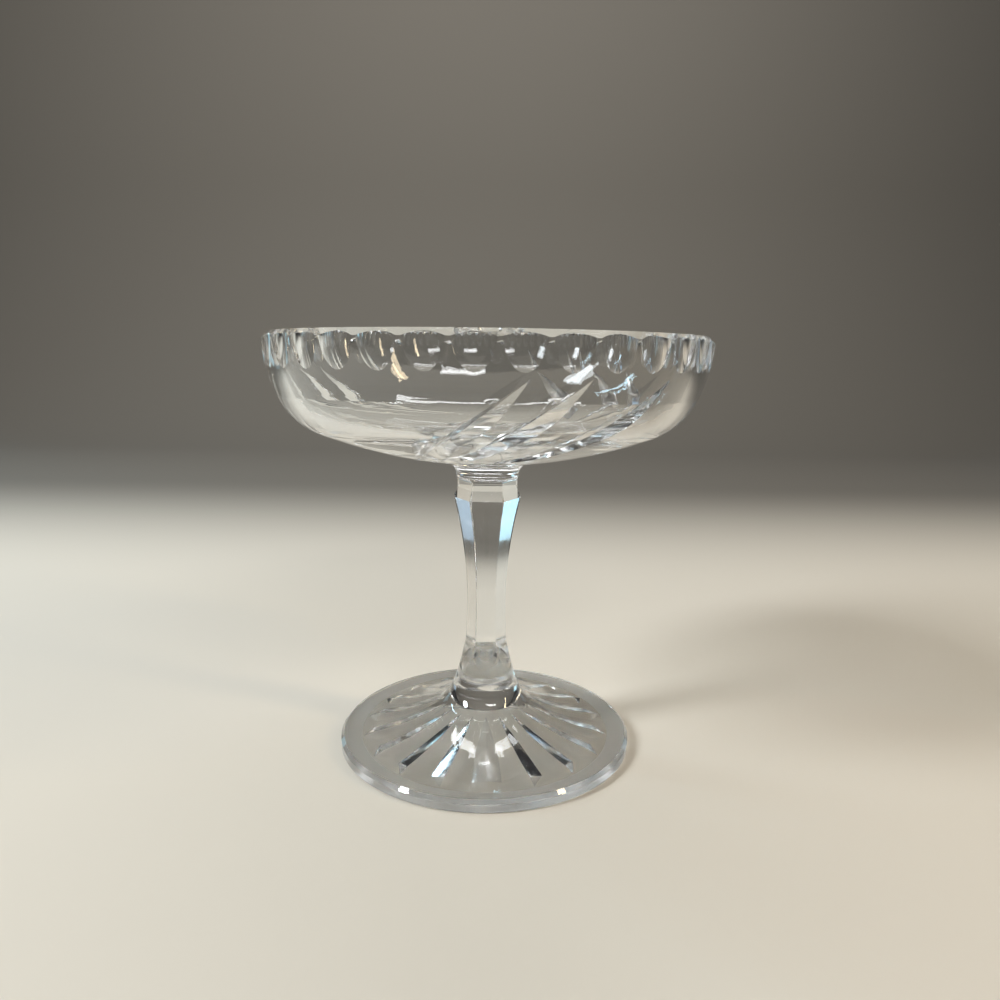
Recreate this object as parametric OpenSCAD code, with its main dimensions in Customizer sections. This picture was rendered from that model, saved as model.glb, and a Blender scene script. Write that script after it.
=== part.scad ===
// Footed compote in cut lead crystal: a shallow bowl on a panelled stem and a hollow bell foot.
// The foot rests on z = 0, the axis is Z and the front is -Y. Turns are counted from the front towards +X.
// An outline is drawn in the plane of radius and height, and then turned about the axis.

/* [Bowl] */
// Height of the rim above the table
rim_z = 148; // [142:1:156]
// Outside diameter at the rim
bowl_d = 152; // [146:1:160]
// Outside depth on the axis
bowl_depth = 44; // [42:0.5:46]
// Thickness of the wall
bowl_wall = 5; // [4.5:0.1:6]
// Thickness of the bottom on the axis
bowl_bottom = 7; // [6:0.5:9]
// Outside radius of the wall's curve
wall_curve = 48.5; // [46:0.5:52]
// Angle through which the wall's curve runs
wall_sweep = 27; // [25:0.5:29]
// Outside radius of the shoulder between wall and bottom
shoulder_curve = 22.5; // [20:0.5:24]
// Width of the bevel ground on the rim's outer edge
rim_bevel = 2.2; // [1.4:0.1:3]
// Width of the bevel ground on the rim's inner edge
rim_ease = 0.6; // [0.3:0.1:1]

/* [Rim flutes] */
// Number of flutes
flute_count = 36; // [24:1:36]
// Width of a flute at the rim
flute_w = 12.4; // [8:0.2:12.6]
// Depth of a flute at the rim
flute_depth = 1.3; // [0.8:0.1:1.8]
// Turn of the first flute from the front
flute_turn = -1.9; // [-5:0.1:5]

/* [Pinwheel cuts] */
// Number of groups of cuts
group_count = 3; // [2:1:5]
// Turn of a group's second cut from its first
second_turn = 13.4; // [12:0.2:16]
// Turn of a group's third cut from its first
third_turn = 35.4; // [30:0.2:40]
// Lean of a cut from level
cut_lean = 38.4; // [36:0.2:42]
// Depth of a cut at the middle of its arc
cut_depth = 2.6; // [2:0.1:2.8]
// Angle between the two faces of a cut
cut_angle = 104; // [96:1:108]
// Angle by which the faces of the arc tilt from its plane, to stand square on the wall
arc_tilt = 30; // [26:1:34]
// Angle by which the faces of the tail tilt from that plane, to stand square on the bottom
tail_tilt = 43; // [40:1:46]
// Drop from the rim to a cut's upper tip
tip_drop = 12.8; // [12:0.1:15]
// Drop from the rim to the point where a cut passes straight below its own turn
cross_drop = 22.4; // [21:0.2:24]
// Rise from the underside of the bowl to the lower end of a cut's arc
low_rise = 8.5; // [8:0.1:10]
// Share of the arc's run after which a straight tail takes over
tail_share = 0.7; // [0.66:0.01:0.76]
// Rise from the underside of the bowl to the tail's tip
tail_rise = 3.2; // [3:0.1:4.5]

/* [Collar] */
// Diameter of the collar under the bowl
collar_top_d = 31.4; // [29:0.2:34]
// Diameter of the collar on the stem
collar_d = 22.2; // [21.6:0.1:24]
// Height of the collar
collar_h = 5.4; // [4.8:0.1:7]
// Thickness of the collar's edge under the bowl
collar_edge = 0.5; // [0.3:0.1:1]

/* [Stem] */
// Width across the flats of the neck
neck_af = 18.5; // [17.5:0.1:19]
// Length of the neck
neck_h = 4.5; // [4:0.1:6]
// Radius of the wheel that ends the panels under the collar
neck_curve = 1.8; // [1:0.1:2.4]
// Width across the flats of the shoulder below the neck
knop_af = 20.9; // [20:0.1:22]
// Drop from the neck to the shoulder
knop_h = 3.5; // [3:0.1:5]
// Width across the flats of the waist, at its narrowest
waist_af = 12.2; // [11.6:0.1:12.3]
// Width across the flats of the straight shank below the waist
shank_af = 12.6; // [12.5:0.1:13]
// Rise from the foot to the shank
shank_rise = 16; // [14:0.5:18]
// Rise from the shank's lower end to the narrowest point of the waist
waist_rise = 12; // [10:0.5:18]
// Radius of the wheel that ends the panels above the foot
panel_curve = 20; // [17:0.5:24]
// Height by which every other panel's shank and waist lie above its neighbours'
panel_stagger = 0.5; // [0.3:0.1:1]

/* [Foot] */
// Diameter of the foot
foot_d = 107; // [100:1:114]
// Height of the foot up to the joint with the stem
foot_h = 24; // [23:0.5:26]
// Diameter at the joint with the stem
foot_neck_d = 22; // [21.6:0.1:23]
// Radius of the hollow sweep from the stem into the foot
flare_curve = 78; // [72:1:86]
// Slope of that sweep at the joint, from upright
flare_slope = 18.7; // [17:0.1:20]
// Slope of that sweep where it runs into the throat, from upright
throat_slope = 22; // [21:0.2:24]
// Radius of the throat between sweep and bell
throat_curve = 12; // [10:0.5:14]
// Slope of the bell where it leaves the throat, from upright
bell_slope = 61; // [59:0.5:63]
// Thickness of the foot's edge
foot_edge = 4.4; // [3.8:0.1:5.4]
// Width of the bevel on the edge's upper corner
edge_bevel = 1.2; // [0.6:0.1:1.8]
// Width of the bevel on the edge's lower corner
edge_ease = 0.5; // [0.3:0.1:0.9]
// Width of the flat ring that the foot rests on
rest_w = 7.5; // [6:0.5:9]
// Height of the hollow under the foot
hollow_h = 13; // [11:0.5:14]

/* [Foot star] */
// Number of rays
ray_count = 18; // [8:1:18]
// Turn of the first ray from the front
ray_turn = 2.2; // [-8:0.1:8]
// Distance of a ray's inner end from the axis
ray_root_r = 12.5; // [12:0.5:15]
// Distance from the axis at which a ray is deepest
ray_full_r = 41; // [40:0.2:41.6]
// Distance of a ray's outer tip from the axis
ray_tip_r = 45; // [44.4:0.2:45.6]
// Depth of a ray halfway along
ray_mid_depth = 1.75; // [1.5:0.05:1.85]
// Depth of a ray at its deepest
ray_depth = 2.2; // [2:0.05:2.4]
// Angle between the two faces of a ray
ray_angle = 130; // [120:1:132]

/* [Hidden] */
$fn = 96;
// Facets round the widest curve
wide_facets = 480;
crystal = [0.86, 0.92, 0.94, 0.5];
// Length by which a cutting shape runs past the glass
past = 1;
// Length by which one curve runs into the next
blend = 0.02;

// Point at an angle on a circle of radius 1, and length of a leg of a right triangle
function unit(angle) = [cos(angle), sin(angle)];
function leg(side, other) = sqrt(side * side - other * other);
// Radius of the arc that starts along a line and ends aside of it
function arc_radius(along, aside) = (along * along + aside * aside) / (2 * aside);

// Bowl: wall and shoulder turn about centres that the inside shares, and the bottom runs on from the shoulder
rim_r = bowl_d / 2;
underside_z = rim_z - bowl_depth;
wall_c = [rim_r - wall_curve, rim_z];
wall_end = wall_c + wall_curve * unit(-wall_sweep);
shoulder_c = wall_c + (wall_curve - shoulder_curve) * unit(-wall_sweep);
function bottom_curve(low_z, shoulder) =
    (pow(shoulder_c.x, 2) + pow(shoulder_c.y - low_z, 2) - pow(shoulder, 2))
    / (2 * (shoulder_c.y - low_z - shoulder));
function bottom_end(low_z, shoulder) =
    let (radius = bottom_curve(low_z, shoulder), centre = [0, low_z + radius], away = shoulder_c - centre)
    centre + radius * away / norm(away);
outer_bottom = bottom_curve(underside_z, shoulder_curve);
outer_end = bottom_end(underside_z, shoulder_curve);
function bowl_r(z) =
    z > wall_end.y ? wall_c.x + leg(wall_curve, wall_c.y - z) :
    z > outer_end.y ? shoulder_c.x + leg(shoulder_curve, shoulder_c.y - z) :
    leg(outer_bottom, underside_z + outer_bottom - z);

// Heights of the joints between the pieces, and of the stem's parts
seat_r = collar_top_d / 2;
seat_z = underside_z + outer_bottom - leg(outer_bottom, seat_r);
stem_top = seat_z - collar_h;
neck_z = stem_top - neck_h;
knop_z = neck_z - knop_h;
shank_z = foot_h + shank_rise;
waist_z = shank_z + waist_rise;
panel_count = 6;

// Flutes: upright round cutters, which run out by themselves where the wall draws in
flute_curve = 1 / (8 * flute_depth / pow(flute_w, 2) - 1 / rim_r);
flute_h = leg(wall_curve, wall_curve - flute_depth);
// Angle left uncut on either side of a flute
flute_land = 0.1;

// Pinwheel cut: an arc in a leaning plane, through two tips on the surface and a point below it
cross_z = rim_z - cross_drop;
function on_cut(z) =
    let (x = (z - cross_z) / tan(cut_lean))
    [x / cos(cut_lean), leg(bowl_r(z), x)];
tip_z = rim_z - tip_drop;
low_z = underside_z + low_rise;
cut_tip = on_cut(tip_z);
cut_low = on_cut(low_z);
cut_chord = (cut_tip - cut_low) / norm(cut_tip - cut_low);
cut_mid = on_cut((tip_z + low_z) / 2) + cut_depth * [cut_chord.y, -cut_chord.x];
function circle_centre(a, b, c) =
    let (u = b - a, v = c - a, twice = 2 * (u.x * v.y - u.y * v.x))
    a + [v.y * (u * u) - u.y * (v * v), u.x * (v * v) - v.x * (u * u)] / twice;
cut_c = circle_centre(cut_tip, cut_mid, cut_low);
cut_curve = norm(cut_tip - cut_c);
cut_start = atan2(cut_tip.y - cut_c.y, cut_tip.x - cut_c.x);
cut_end = atan2(cut_low.y - cut_c.y, cut_low.x - cut_c.x);
// Angle by which the arc's ring runs past both ends
cut_run = 5;
tail_root = cut_c + cut_curve * unit(cut_start + tail_share * (cut_end - cut_start));
tail_tip = on_cut(underside_z + tail_rise);
tail_way = tail_root - tail_tip;
// Length by which the tail runs into the arc
tail_lap = 3;

// Foot: sweep, throat and bell share their tangents, and the hollow runs beside the bell
foot_r = foot_d / 2;
foot_neck_r = foot_neck_d / 2;
flare_c = [foot_neck_r, foot_h] + flare_curve * unit(flare_slope);
throat_z = (flare_c - flare_curve * unit(throat_slope)).y;
throat_c = flare_c - (flare_curve - throat_curve) * unit(throat_slope);
bell_start = throat_c - throat_curve * unit(bell_slope);
bell_run = [foot_r - edge_bevel, foot_edge] - bell_start;
bell_curve = bell_run * bell_run / (2 * bell_run * unit(bell_slope));
bell_c = bell_start + bell_curve * unit(bell_slope);
hollow_curve = norm([foot_r - rest_w, 0] - bell_c);
function on_hollow(r) = [r, bell_c.y - leg(hollow_curve, bell_c.x - r)];

// Ray of the star: an arc from its inner end to its deepest point, and a slope from there to its tip
function below_hollow(r, depth) = bell_c + (1 - depth / hollow_curve) * (on_hollow(r) - bell_c);
ray_root = on_hollow(ray_root_r);
ray_full = below_hollow(ray_full_r, ray_depth);
ray_tip = on_hollow(ray_tip_r);
ray_mid = below_hollow((ray_root_r + ray_tip_r) / 2, ray_mid_depth);
ray_c = circle_centre(ray_root, ray_mid, ray_full);
ray_curve = norm(ray_root - ray_c);
ray_start = atan2(ray_root.y - ray_c.y, ray_root.x - ray_c.x);
ray_end = atan2(ray_tip.y - ray_c.y, ray_tip.x - ray_c.x);
// Angle by which the ring runs past both ends
ray_run = 2;
ray_slope = ray_full - ray_tip;

// Half section of a basin inside the bowl's outline by inset, from its lowest point up to top
module basin(inset, bottom_z, top) {
    shoulder = shoulder_curve - inset;
    radius = bottom_curve(bottom_z, shoulder);
    end_r = bottom_end(bottom_z, shoulder).x;
    wall_low = wall_c + (wall_curve - inset) * unit(-wall_sweep);
    intersection() {
        translate([0, bottom_z + radius])
            circle(radius);
        translate([0, bottom_z - past])
            square([end_r, top - bottom_z + past]);
    }
    intersection() {
        translate(shoulder_c)
            circle(shoulder + blend);
        translate([0, bottom_z - past])
            square([rim_r, top - bottom_z + past]);
    }
    translate([end_r - past, shoulder_c.y])
        square([wall_low.x - end_r + 2 * past, top - shoulder_c.y]);
    intersection() {
        translate(wall_c)
            circle(wall_curve - inset);
        translate(wall_low)
            square([rim_r, top - wall_low.y]);
    }
}

// Bevels on the rim's outer and inner edge
module rim_bevels() {
    inner_r = rim_r - bowl_wall;
    translate([rim_r, rim_z])
        polygon([[-rim_bevel - past, past], [past, -rim_bevel - past], [past, past]]);
    translate([inner_r, rim_z])
        polygon([[rim_ease + past, past], [-past, past], [-past, -rim_ease - past]]);
}

// One rim flute at the front
module flute() {
    half_step = 180 / flute_count - flute_land;
    inside = rim_r - 2 * flute_depth;
    outside = rim_r + 2 * flute_depth;
    rotate(-90)
        translate([0, 0, rim_z - flute_h - past])
            linear_extrude(flute_h + 2 * past)
                intersection() {
                    translate([rim_r - flute_depth + flute_curve, 0])
                        circle(flute_curve);
                    polygon([inside * unit(half_step), outside * unit(half_step),
                             outside * unit(-half_step), inside * unit(-half_step)]);
                }
}

// One pinwheel cut at the front: a V-edged ring in the leaning plane, and a straight V that runs on below it
module mitre() {
    half_angle = cut_angle / 2;
    face_w = (cut_depth + 2 * past) / cos(half_angle);
    edge = [cut_curve, 0];
    translate([0, 0, cross_z])
        rotate([180, -cut_lean, 0]) {
            translate([cut_c.x, cut_c.y, 0])
                rotate(cut_start - cut_run)
                    rotate_extrude(angle = cut_end - cut_start + 2 * cut_run)
                        polygon([edge, edge + face_w * unit(arc_tilt - half_angle),
                                 edge + face_w * unit(arc_tilt + half_angle)]);
            translate([tail_tip.x, tail_tip.y, 0])
                rotate([90, 0, 90 + atan2(tail_way.y, tail_way.x)])
                    translate([0, 0, -past])
                        linear_extrude(norm(tail_way) + tail_lap + past)
                            polygon([[0, 0], face_w * unit(tail_tilt - half_angle),
                                     face_w * unit(tail_tilt + half_angle)]);
        }
}

// Bowl: blown basin with a flat seat for the collar, ground rim, flutes and pinwheel cuts
module bowl() {
    color(crystal)
        difference() {
            rotate_extrude()
                difference() {
                    basin(0, underside_z, rim_z);
                    basin(bowl_wall, underside_z + bowl_bottom, rim_z + past);
                    translate([0, underside_z - past])
                        square([rim_r, seat_z - underside_z + past]);
                    rim_bevels();
                }
            for (i = [0 : flute_count - 1])
                rotate(flute_turn + i * 360 / flute_count)
                    flute();
            for (i = [0 : group_count - 1], step = [0, second_turn, third_turn])
                rotate(step + i * 360 / group_count)
                    mitre();
        }
}

// Collar: flared disc between the stem and the bowl's seat
module collar() {
    foot_of_collar = collar_d / 2;
    curve = arc_radius(collar_h - collar_edge, seat_r - foot_of_collar);
    color(crystal)
        rotate_extrude()
            difference() {
                translate([0, stem_top])
                    square([seat_r, collar_h]);
                translate([foot_of_collar + curve, stem_top])
                    circle(curve);
            }
}

// Round blank that the stem is cut from: it flares into the foot below
module stem_blank() {
    blank_r = knop_af / sqrt(3) + past;
    blank_low = shank_z - 2 * past;
    rotate_extrude() {
        difference() {
            translate([0, foot_h])
                square([foot_neck_r + past, blank_low + past - foot_h]);
            translate(flare_c)
                circle(flare_curve);
        }
        translate([0, blank_low])
            square([blank_r, neck_z - blank_low]);
        translate([0, neck_z - past])
            square([collar_d / 2, neck_h + past]);
    }
}

// What the wheel takes off the blank for one panel, in outline, with shank and waist lifted
module panel_cut(lift) {
    low_end = shank_z + lift;
    narrowest = waist_z + lift;
    neck = neck_af / 2;
    knop = knop_af / 2;
    waist = waist_af / 2;
    shank = shank_af / 2;
    far = knop_af + panel_curve;
    taper_curve = arc_radius(knop_z - narrowest, knop - waist);
    intersection() {
        translate([shank + panel_curve, low_end])
            circle(panel_curve + blend);
        translate([0, foot_h - past])
            square([shank + panel_curve, low_end + panel_curve - foot_h]);
    }
    translate([shank, low_end])
        square([far, waist_rise]);
    intersection() {
        translate([waist + taper_curve, narrowest])
            circle(taper_curve + blend, $fn = wide_facets);
        translate([0, low_end])
            square([far, knop_z + past - low_end]);
    }
    polygon([[knop, knop_z], [neck, neck_z], [neck, stem_top - neck_curve],
             [far, stem_top - neck_curve], [far, knop_z]]);
    translate([neck + neck_curve, stem_top - neck_curve])
        circle(neck_curve + blend);
}

// Cutting shape of one panel, counted from the front
module panel(i) {
    rotate(i * 360 / panel_count - 90)
        rotate([90, 0, 0])
            linear_extrude(2 * knop_af, center = true)
                panel_cut(i % 2 * panel_stagger);
}

// Blank with the given number of panels, which are cut one after another
module panelled_blank(panels) {
    if (panels == 0)
        stem_blank();
    else
        difference() {
            panelled_blank(panels - 1);
            panel(panels);
        }
}

// Stem: drawn blank with its panels, of which one faces the front
module stem() {
    color(crystal)
        panelled_blank(panel_count);
}

// Half section of the foot: bell above, flat resting ring and hollow below
module foot_section() {
    difference() {
        square([foot_r, foot_h]);
        intersection() {
            translate(flare_c)
                circle(flare_curve);
            translate([0, throat_z])
                square([foot_d, foot_h]);
        }
        translate(throat_c)
            circle(throat_curve + blend);
        intersection() {
            translate(bell_c)
                circle(bell_curve);
            translate([bell_start.x, 0])
                square([foot_d, foot_h + past]);
        }
        difference() {
            translate([0, -past])
                square([foot_r - rest_w + past, hollow_h + past]);
            translate(bell_c)
                circle(hollow_curve);
        }
        translate([foot_r, foot_edge])
            polygon([[-edge_bevel - past, past], [past, -edge_bevel - past], [past, past]]);
        translate([foot_r, 0])
            polygon([[-edge_ease - past, -past], [past, edge_ease + past], [past, -past]]);
    }
}

// V with its edge at the origin, open along X
module vee(deep) {
    half_w = deep * tan(ray_angle / 2);
    polygon([[0, 0], [deep, -half_w], [deep, half_w]]);
}

// One ray of the star at the front: a V-edged ring, cut off by the sloping V of its tip
module ray() {
    rotate([90, 0, -90])
        intersection() {
            translate([ray_c.x, ray_c.y, 0])
                rotate(ray_start - ray_run)
                    rotate_extrude(angle = ray_end - ray_start + 2 * ray_run)
                        translate([ray_curve, 0])
                            vee(ray_depth + past);
            translate([ray_tip.x, ray_tip.y, 0])
                rotate([90, 0, 90 + atan2(ray_slope.y, ray_slope.x)])
                    translate([0, 0, -past])
                        linear_extrude(foot_r)
                            vee(foot_h);
        }
}

// Foot: hollow bell with a star of rays cut in the hollow
module foot() {
    color(crystal)
        difference() {
            rotate_extrude()
                foot_section();
            for (i = [0 : ray_count - 1])
                rotate(ray_turn + i * 360 / ray_count)
                    ray();
        }
}

bowl();
collar();
stem();
foot();
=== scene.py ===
import math

import bpy
import numpy as np
from mathutils import Matrix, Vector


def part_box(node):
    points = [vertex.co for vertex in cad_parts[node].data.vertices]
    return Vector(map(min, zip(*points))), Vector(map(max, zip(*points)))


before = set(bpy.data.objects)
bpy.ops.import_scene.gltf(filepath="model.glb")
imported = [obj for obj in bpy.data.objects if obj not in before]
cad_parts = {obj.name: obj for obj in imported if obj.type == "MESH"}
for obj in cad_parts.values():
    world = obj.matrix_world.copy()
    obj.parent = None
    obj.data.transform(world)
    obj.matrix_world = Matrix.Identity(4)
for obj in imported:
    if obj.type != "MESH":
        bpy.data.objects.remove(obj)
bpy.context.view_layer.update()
scene = bpy.context.scene

# Foot: the hollow bell of clear lead crystal that the compote stands on, shaped hot and fused to the stem.
# The star of rays in its hollow was cut with a V-edged wheel and acid polished.
# The ring that it rests on was ground flat and left matt.
FOOT_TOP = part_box("foot")[1].z
FOOT_RIPPLE, STAR_WAVES = 1.0e-5, 2.5e-6
RING_HEIGHT, RING_ROUGHNESS = 5e-5, 0.4
CRYSTAL_IOR = 1.545
COOL_CAST, CLEAR_CAST = (0.970, 0.984, 0.990, 1), (0.990, 0.995, 0.997, 1)
RIPPLE_SCALE, RIPPLE_DETAIL = 65.0, 1.0
WAVE_SCALE, WAVE_DETAIL = 420.0, 2.0
CUT_HAZE = 0.18
CUT_BEGINS, CUT_FULL = 0.03, 0.12
JOINT_REACH = 2e-5


def add(tree, kind, *feeds, **options):
    """One more node in a tree: options are set by name, and its inputs take sockets or numbers in order."""
    node = tree.nodes.new("ShaderNode" + kind)
    for option, value in options.items():
        setattr(node, option, value)
    for socket, feed in zip(node.inputs, feeds):
        if isinstance(feed, bpy.types.NodeSocket):
            tree.links.new(feed, socket)
        elif feed is not None:
            socket.default_value = feed
    return node.outputs


def reckon(tree, operation, *feeds):
    """The result of one sum on sockets or numbers."""
    return add(tree, "Math", *feeds, operation=operation)[0]


def blend(tree, share, first, last):
    """A colour that goes from the first to the last as the share goes from 0 to 1."""
    ramp = tree.nodes.new("ShaderNodeValToRGB")
    ramp.color_ramp.elements[0].color = first
    ramp.color_ramp.elements[1].color = last
    tree.links.new(share, ramp.inputs["Fac"])
    return ramp.outputs["Color"]


def effect(name, inputs, outputs):
    """An empty node group with named sockets, and the sockets at its two ends."""
    tree = bpy.data.node_groups.new(name, "ShaderNodeTree")
    for side, sockets in (("INPUT", inputs), ("OUTPUT", outputs)):
        for socket, kind in sockets.items():
            tree.interface.new_socket(socket, in_out=side, socket_type="NodeSocket" + kind)
    return tree, tree.nodes.new("NodeGroupInput").outputs, tree.nodes.new("NodeGroupOutput").inputs


# Two pieces that are fused have no surface between them: Glass is 0 on the flat faces at two heights.
fused, given, result = effect(
    "fused_joint", {"Position": "Vector", "Lower": "Float", "Upper": "Float"}, {"Glass": "Float"}
)
height = add(fused, "SeparateXYZ", given["Position"])["Z"]
at_lower = reckon(fused, "COMPARE", height, given["Lower"], JOINT_REACH)
at_upper = reckon(fused, "COMPARE", height, given["Upper"], JOINT_REACH)
at_joint = reckon(fused, "MAXIMUM", at_lower, at_upper)
fused.links.new(reckon(fused, "SUBTRACT", 1.0, at_joint), result["Glass"])

# A turned surface never faces sideways round the axis, so Cut is 1 where a wheel has made one that does:
# the sideways part of the normal is the Z of position x normal, over the distance from the axis.
wheel, given, result = effect("wheel_cut", {"Position": "Vector", "Normal": "Vector"}, {"Cut": "Float"})
crossed = add(wheel, "VectorMath", given["Position"], given["Normal"], operation="CROSS_PRODUCT")["Vector"]
level = add(wheel, "VectorMath", given["Position"], (1, 1, 0), operation="MULTIPLY")["Vector"]
from_axis = add(wheel, "VectorMath", level, operation="LENGTH")["Value"]
sideways = reckon(wheel, "DIVIDE", add(wheel, "SeparateXYZ", crossed)["Z"], from_axis)
cut_share = add(wheel, "MapRange", reckon(wheel, "ABSOLUTE", sideways), CUT_BEGINS, CUT_FULL)[0]
wheel.links.new(cut_share, result["Cut"])

# Hand-worked glass is never quite even: a slow ripple all over, finer waves and a breath of haze where a
# wheel has been, and a cast that drifts between faintly cool and clear. Heights are in metres.
polish, given, result = effect(
    "hand_polish",
    {"Position": "Vector", "Cut": "Float", "Ripple": "Float", "Waves": "Float"},
    {"Height": "Float", "Haze": "Float", "Tint": "Color"},
)
slow = add(polish, "TexNoise", given["Position"], None, RIPPLE_SCALE, RIPPLE_DETAIL)[0]
fine = add(polish, "TexNoise", given["Position"], None, WAVE_SCALE, WAVE_DETAIL)[0]
marks = reckon(polish, "MULTIPLY", fine, given["Cut"])
rippled = reckon(polish, "MULTIPLY", slow, given["Ripple"])
polish.links.new(reckon(polish, "MULTIPLY_ADD", marks, given["Waves"], rippled), result["Height"])
polish.links.new(reckon(polish, "MULTIPLY", marks, CUT_HAZE), result["Haze"])
polish.links.new(blend(polish, slow, COOL_CAST, CLEAR_CAST), result["Tint"])


def crystal(node, lower, upper, ripple, waves):
    """Clear lead crystal on a piece between two joints, with cuts, ripple and waves; returns its tree."""
    material = bpy.data.materials.new(node + "_crystal")
    material.use_nodes = True
    tree = material.node_tree
    shader = tree.nodes["Principled BSDF"].inputs
    shader["Transmission Weight"].default_value = 1.0
    shader["IOR"].default_value = CRYSTAL_IOR
    place = add(tree, "TexCoord")
    glass = add(tree, "Group", place["Object"], lower, upper, node_tree=fused)["Glass"]
    cut = add(tree, "Group", place["Object"], place["Normal"], node_tree=wheel)["Cut"]
    finish = add(tree, "Group", place["Object"], cut, ripple, waves, node_tree=polish)
    bump = tree.nodes.new("ShaderNodeBump")
    bump.inputs["Distance"].default_value = 1.0
    tree.links.new(finish["Height"], bump.inputs["Height"])
    tree.links.new(finish["Tint"], shader["Base Color"])
    tree.links.new(finish["Haze"], shader["Roughness"])
    tree.links.new(glass, shader["Alpha"])
    tree.links.new(bump.outputs["Normal"], shader["Normal"])
    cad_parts[node].material_slots[0].material = material
    return tree


foot_tree = crystal("foot", FOOT_TOP, FOOT_TOP, FOOT_RIPPLE, STAR_WAVES)
roughness = foot_tree.nodes["Principled BSDF"].inputs["Roughness"]
foot_height = add(foot_tree, "SeparateXYZ", add(foot_tree, "TexCoord")["Object"])["Z"]
ring = reckon(foot_tree, "COMPARE", foot_height, 0.0, RING_HEIGHT)
matt = reckon(foot_tree, "MULTIPLY", ring, RING_ROUGHNESS)
foot_tree.links.new(reckon(foot_tree, "MAXIMUM", roughness.links[0].from_socket, matt), roughness)

# Stem: a drawn rod of the same crystal, fused between foot and collar.
# Its six panels, from the foot up to the shoulder and the neck, were ground one by one and polished.
STEM_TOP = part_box("stem")[1].z
STEM_RIPPLE, PANEL_WAVES = 0.5e-5, 2.5e-6
crystal("stem", FOOT_TOP, STEM_TOP, STEM_RIPPLE, PANEL_WAVES)

# Collar: a small gather of hot crystal, pressed out to a flared disc that welds the bowl to the stem.
# It is left as the fire made it, with no cutting.
COLLAR_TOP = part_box("collar")[1].z
COLLAR_RIPPLE, COLLAR_WAVES = 1.5e-5, 0.0
crystal("collar", STEM_TOP, COLLAR_TOP, COLLAR_RIPPLE, COLLAR_WAVES)

# Bowl: the shallow blown basin of crystal, with a ground and polished rim.
# Upright flutes were cut round the rim and leaning pinwheel mitres on the underside, then acid polished.
BOWL_RIPPLE, MITRE_WAVES = 3.0e-5, 3.0e-6
crystal("bowl", COLLAR_TOP, COLLAR_TOP, BOWL_RIPPLE, MITRE_WAVES)

# Floor and backdrop: one sweep of card, level and pale under the foot and bent up behind it.
# It is graded to a deeper tone behind the bowl, where clear glass would be lost on pale card.
# A hair of air below the foot keeps the card off the glass.
NEAR_COLOUR, FAR_COLOUR, CARD_ROUGHNESS = (0.67, 0.61, 0.52, 1), (0.17, 0.153, 0.128, 1), 0.9
GRADE_START, GRADE_END = 0.2, 0.6
AIR = 1e-4
CARD_HALF_WIDTH, CARD_FRONT, CARD_TOP = 1.3, -0.32, 1.2
BEND_START, BEND_RADIUS, BEND_STEPS = 0.9, 0.5, 17
WALL_AT = BEND_START + BEND_RADIUS

# From the front the card runs level, then up a quarter of a circle by sine and cosine, then straight up.
turn = np.linspace(0, math.pi / 2, BEND_STEPS)
run = np.concatenate([[CARD_FRONT], BEND_START + BEND_RADIUS * np.sin(turn), [WALL_AT]])
rise = np.concatenate([[0], BEND_RADIUS - BEND_RADIUS * np.cos(turn), [CARD_TOP]]) - AIR
across, along = np.meshgrid([-CARD_HALF_WIDTH, CARD_HALF_WIDTH], run)
points = np.stack([across, along, np.broadcast_to(rise[:, None], across.shape)], -1).reshape(-1, 3)
index = np.arange(across.size).reshape(across.shape)
quads = np.stack([index[:-1, :-1], index[:-1, 1:], index[1:, 1:], index[1:, :-1]], -1).reshape(-1, 4)
sweep_mesh = bpy.data.meshes.new("card_sweep")
sweep_mesh.from_pydata(points.tolist(), [], quads.tolist())
sweep_mesh.polygons.foreach_set("use_smooth", np.ones(len(quads), bool))
sweep = bpy.data.objects.new("card_sweep", sweep_mesh)
scene.collection.objects.link(sweep)
card = bpy.data.materials.new("graded_card")
card.use_nodes = True
paper = card.node_tree
surface = paper.nodes["Principled BSDF"].inputs
away = add(paper, "SeparateXYZ", add(paper, "TexCoord")["Object"])["Y"]
grade = add(paper, "MapRange", away, GRADE_START, GRADE_END, interpolation_type="SMOOTHSTEP")[0]
paper.links.new(blend(paper, grade, NEAR_COLOUR, FAR_COLOUR), surface["Base Color"])
surface["Roughness"].default_value = CARD_ROUGHNESS
sweep_mesh.materials.append(card)

# Light: soft boxes in a dim room, so that the edges of the glass stay dark against the pale card.
# A cool box and a strip for the rim stand to the left, a warm strip to the right and a fill in front.
# Two faint wings at the back show blue in the stem's side panels, and one box washes the backdrop.
ROOM_COLOUR = (0.02, 0.02, 0.022, 1)
PLAIN_WHITE, WINDOW_WHITE, AMBER = (1, 1, 1), (0.90, 0.96, 1.0), (1.0, 0.82, 0.55)
PALE_BLUE, CYAN, BLUE = (0.60, 0.85, 1.0), (0.50, 0.85, 1.0), (0.55, 0.78, 1.0)
WING_SIZE, WING_SPREAD = (0.25, 0.42), math.radians(60)
ON_COMPOTE, ON_BACKDROP = (0, 0, 0.1), (0, WALL_AT, 0.25)
GLASS_BOUNCES = 40


def softbox(name, at, aim, size, power, colour, spread=math.pi):
    """A rectangular lamp at one point that faces another: size is width and height, spread is its fan."""
    lamp = bpy.data.lights.new(name, "AREA")
    lamp.shape = "RECTANGLE"
    lamp.size, lamp.size_y = size
    lamp.energy = power
    lamp.color = colour
    lamp.spread = spread
    back = np.subtract(at, aim) / np.linalg.norm(np.subtract(at, aim))
    side = np.cross((0, 0, 1), back)
    side = side / np.linalg.norm(side)
    axes = np.column_stack([side, np.cross(back, side), back, at])
    box = bpy.data.objects.new(name, lamp)
    box.matrix_world = Matrix(np.vstack([axes, (0, 0, 0, 1)]).tolist())
    box.visible_camera = False
    scene.collection.objects.link(box)


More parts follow.
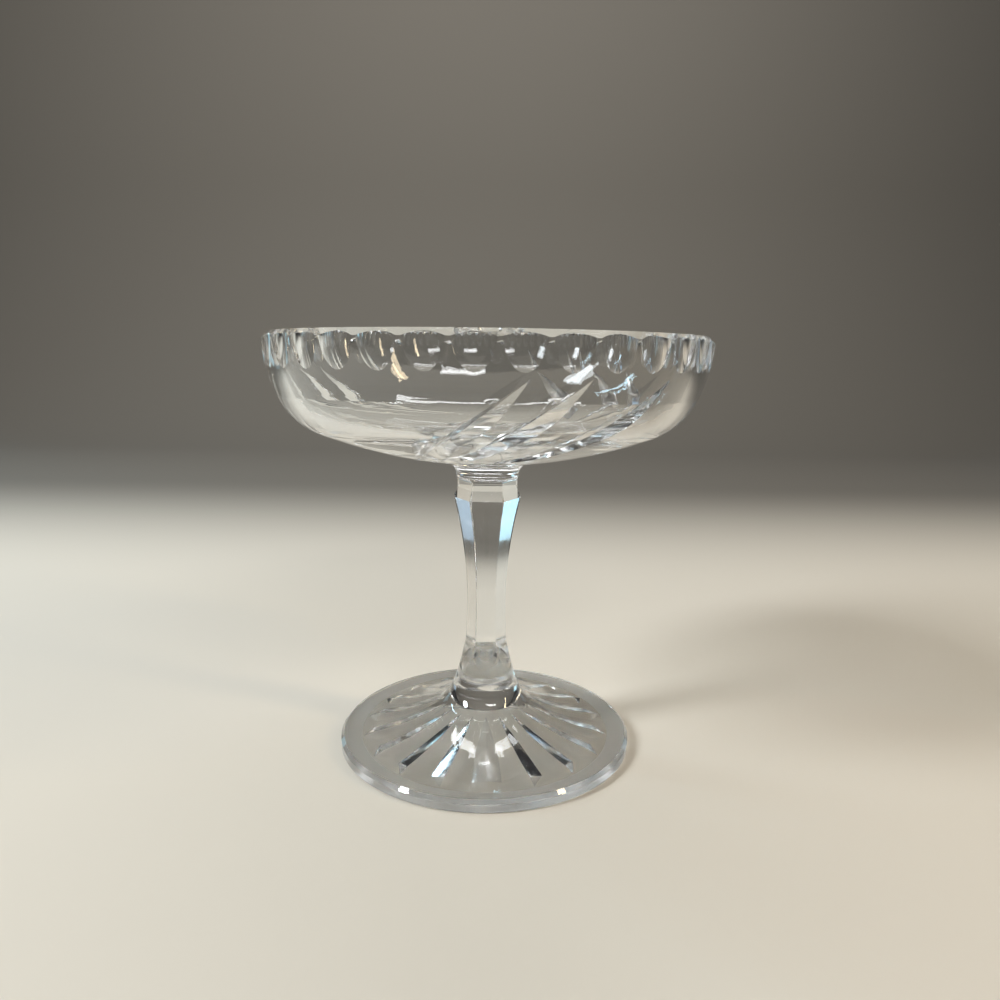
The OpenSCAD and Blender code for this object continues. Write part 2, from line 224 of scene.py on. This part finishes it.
room = bpy.data.worlds.new("dim_room")
room.use_nodes = True
room.node_tree.nodes["Background"].inputs["Color"].default_value = ROOM_COLOUR
scene.world = room
softbox("window_box", at=(-1.2, -0.5, 0.95), aim=ON_COMPOTE, size=(0.3, 0.5), power=22, colour=WINDOW_WHITE)
softbox("side_strip", at=(0.8, -0.3, 0.55), aim=ON_COMPOTE, size=(0.08, 0.5), power=3, colour=AMBER)
softbox("rim_strip", at=(-0.75, 0.3, 0.75), aim=ON_COMPOTE, size=(0.06, 0.5), power=2, colour=PALE_BLUE)
softbox("front_fill", at=(0.3, -0.8, 0.75), aim=ON_COMPOTE, size=(0.5, 0.12), power=3, colour=PLAIN_WHITE)
softbox(
    "left_wing", at=(-0.95, 0.95, 0.24), aim=ON_COMPOTE, size=WING_SIZE,
    power=0.045, colour=CYAN, spread=WING_SPREAD,
)
softbox(
    "right_wing", at=(0.95, 0.95, 0.24), aim=ON_COMPOTE, size=WING_SIZE,
    power=0.022, colour=BLUE, spread=WING_SPREAD,
)
softbox("backdrop_wash", at=(0, 0.5, 1.3), aim=ON_BACKDROP, size=(1.0, 0.3), power=9, colour=PLAIN_WHITE)

# Light meets dozens of cut faces before it leaves the crystal, so its paths may be long.
scene.cycles.max_bounces = GLASS_BOUNCES
scene.cycles.glossy_bounces = GLASS_BOUNCES
scene.cycles.transmission_bounces = GLASS_BOUNCES

# Camera: a short lens close to the compote, just below the height of its rim and tipped down.
# It stands a little to the right of the axis and is rolled by less than a degree.
CAMERA_AT = (0.00457, -0.2737, 0.1402)
CAMERA_TIP, CAMERA_ROLL = math.radians(79.66), 0.0137
LENS, SENSOR, NEAR_CLIP = 27.81, 36.0, 0.01
lens = bpy.data.cameras.new("camera")
lens.lens, lens.sensor_width, lens.clip_start = LENS, SENSOR, NEAR_CLIP
camera = bpy.data.objects.new("camera", lens)
camera.matrix_world = (
    Matrix.Translation(CAMERA_AT)
    @ Matrix.Rotation(CAMERA_TIP, 4, "X")
    @ Matrix.Rotation(CAMERA_ROLL, 4, "Z")
)
scene.collection.objects.link(camera)
scene.camera = camera
scene.view_settings.view_transform = "Standard"
